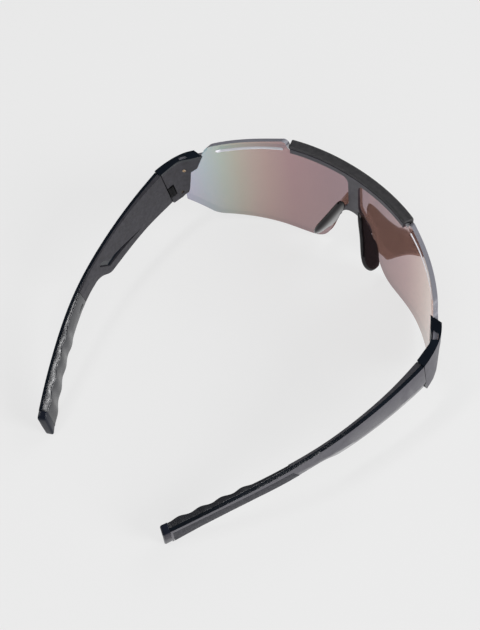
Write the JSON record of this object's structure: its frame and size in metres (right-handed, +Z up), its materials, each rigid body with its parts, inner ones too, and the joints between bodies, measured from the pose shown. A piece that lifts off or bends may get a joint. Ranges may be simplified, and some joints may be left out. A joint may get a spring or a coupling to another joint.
{
  "type": "shield sunglasses",
  "caption": "Wrap-around shield sports glasses with a soft brow bar, nose pads and two folding temples with ribbed rubber grips.",
  "frame": {"origin": "bottom centre of the box of the opened glasses, on the plane they rest on", "axes": "+X towards the wearer's left, -Y the way the lens faces, +Y back along the temples, +Z up"},
  "size_m": [0.1392, 0.146, 0.0549],
  "materials": {
    "lens": "clear tinted polycarbonate with a soft mirror gradient",
    "brow_rubber": "matt, finely knurled",
    "frame_satin": "satin",
    "pad_rubber": "smooth, slightly glossy",
    "gloss_black": "polished",
    "matt_grey": "fine matt",
    "gloss_slate": "gloss",
    "sleeve_rubber": "satin",
    "grip_rubber": "matt, fine ribs",
    "brass": "turned",
    "steel": "brushed"
  },
  "bodies": {
    "front": {"bridge_frame": "frame_satin", "brow_bar": "brow_rubber", "endpiece_cover_left": "matt_grey", "endpiece_cover_right": "matt_grey", "endpiece_shell_left": "gloss_black", "endpiece_shell_right": "gloss_black", "hinge_pin_left": "steel", "hinge_pin_right": "steel", "lens_screws_left": "brass", "lens_screws_right": "brass", "lens_shield": "lens", "nose_pad_left": "pad_rubber", "nose_pad_right": "pad_rubber", "nose_prong_left": "frame_satin", "nose_prong_right": "frame_satin"},
    "temple_left": {"hinge_leaf_left": "steel", "temple_cap_left": "gloss_slate", "temple_core_left": "steel", "temple_grip_left": "grip_rubber", "temple_panel_left": "matt_grey", "temple_shell_left": "gloss_black", "temple_sleeve_left": "sleeve_rubber"},
    "temple_right": {"hinge_leaf_right": "steel", "temple_cap_right": "gloss_slate", "temple_core_right": "steel", "temple_grip_right": "grip_rubber", "temple_panel_right": "matt_grey", "temple_shell_right": "gloss_black", "temple_sleeve_right": "sleeve_rubber"}
  },
  "joints": [
    {"name": "temple_left_fold", "type": "hinge", "parent": "front", "child": "temple_left", "pos_m": [0.0666, -0.03105, 0.03076], "axis": [0, 0.1886, 0.9821], "range_deg": [0, 84]},
    {"name": "temple_right_fold", "type": "hinge", "parent": "front", "child": "temple_right", "pos_m": [-0.0666, -0.03105, 0.03076], "axis": [0, -0.1886, -0.9821], "range_deg": [0, 66]}
  ]
}
